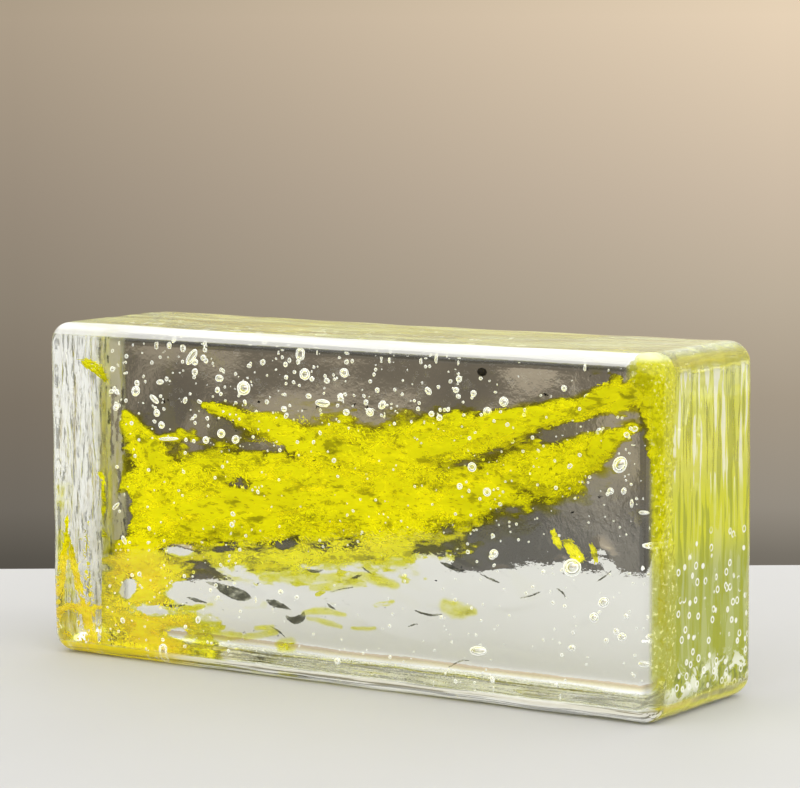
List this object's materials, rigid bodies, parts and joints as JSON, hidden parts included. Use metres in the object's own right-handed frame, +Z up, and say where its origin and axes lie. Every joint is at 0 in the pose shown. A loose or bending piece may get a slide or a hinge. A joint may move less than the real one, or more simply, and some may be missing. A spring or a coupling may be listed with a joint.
{
  "type": "solid cast glass brick",
  "caption": "Solid cast glass brick with rounded edges, yellow colour swirled through clear glass, and trapped air bubbles.",
  "frame": {"origin": "middle of the long narrow side that the brick stands on, at floor level", "axes": "+X along the brick's length, +Y from its broad front to its broad poured back, +Z up"},
  "size_m": [0.19, 0.05, 0.09],
  "materials": {
    "swirled_glass": "clear cast glass, fire-polished, with a swirl of bright yellow coloured glass and trapped bubbles"
  },
  "bodies": {
    "root": {"glass_block": "swirled_glass"}
  },
  "joints": []
}
